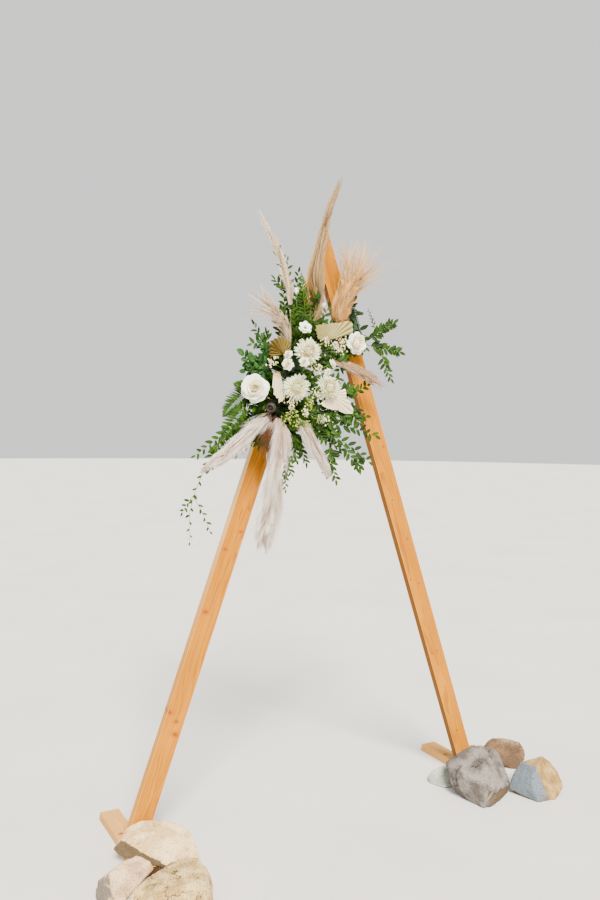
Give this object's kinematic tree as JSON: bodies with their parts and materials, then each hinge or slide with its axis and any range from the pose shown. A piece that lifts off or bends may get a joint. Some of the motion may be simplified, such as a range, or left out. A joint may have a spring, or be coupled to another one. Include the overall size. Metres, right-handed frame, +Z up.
{
  "type": "a-frame wedding arch",
  "caption": "Triangular timber wedding arch on flat feet weighted with loose stones, its top dressed with white flowers, pampas plumes, palm fans and leaves.",
  "frame": {"origin": "centre of the footprint at ground level", "axes": "+X along the arch towards the right leg as seen from the front, +Y to the back, +Z up; the flowers face -Y"},
  "size_m": [2.339, 0.964, 2.94],
  "materials": {
    "pine": "stained pine, semi-matt",
    "pine_foot": "paler stained pine",
    "foam": "green floral foam in a plastic cage",
    "tie": "black cable tie",
    "sand_stone": "rough sand-coloured field stone",
    "pink_stone": "rough pinkish field stone",
    "tan_stone": "rough tan field stone",
    "grey_stone": "rough grey field stone",
    "ochre_stone": "split field stone, ochre and blue-grey",
    "white_petal": "white petals",
    "cream_petal": "cream petals",
    "seed": "pale green seed head",
    "pod": "brown dried pod",
    "gold_fan": "dried golden palm leaf",
    "pale_fan": "dried pale palm leaf",
    "cream_fan": "bleached palm leaf",
    "pale_pampas": "pale pampas plume",
    "tan_pampas": "tan pampas plume",
    "grey_pampas": "grey-tan pampas plume",
    "pink_pampas": "pinkish pampas plume",
    "fern": "bright green fern",
    "leaf": "dark green leaves",
    "blue_leaf": "blue-green leaves"
  },
  "bodies": {
    "root": {"left_foot": "pine_foot", "left_leg": "pine", "right_foot": "pine_foot", "right_leg": "pine", "left_stone_slab": "sand_stone", "left_stone_long": "pink_stone", "left_stone_rough": "sand_stone", "right_stone_big": "grey_stone", "right_stone_small": "grey_stone", "right_stone_back": "tan_stone", "right_stone_ridge": "ochre_stone", "right_stone_low": "tan_stone", "left_foam_cage": "foam", "left_tie_upper": "tie", "left_tie_lower": "tie", "right_foam_cage": "foam", "right_tie_upper": "tie", "right_tie_lower": "tie", "rose_large": "white_petal", "mum_middle": "white_petal", "mum_top": "white_petal", "mum_right": "white_petal", "white_flower_right": "white_petal", "lisianthus": "white_petal", "spray_rose_left": "cream_petal", "spray_rose_middle": "cream_petal", "spray_rose_right": "cream_petal", "dried_pod": "pod", "seed_head": "seed", "fan_golden": "gold_fan", "fan_pale": "pale_fan", "fan_folded": "cream_fan", "fan_cream": "cream_fan", "plume_top": "grey_pampas", "plume_top_left": "pale_pampas", "plume_left": "tan_pampas", "plume_top_right": "tan_pampas", "plume_right": "pink_pampas", "plume_lower_left": "pale_pampas", "plume_lower": "pale_pampas", "plume_lower_right": "pale_pampas", "fern_left": "fern", "fern_top": "fern", "eucalyptus_left": "blue_leaf", "leaves_left_upper": "leaf", "leaves_top": "leaf", "leaves_right_high": "leaf", "leaves_right_low": "leaf", "leaves_crossing": "leaf", "leaves_inner_right": "leaf", "leaves_hanging_right": "leaf", "leaves_hanging_middle": "leaf", "leaves_lower_left": "leaf"}
  },
  "joints": []
}
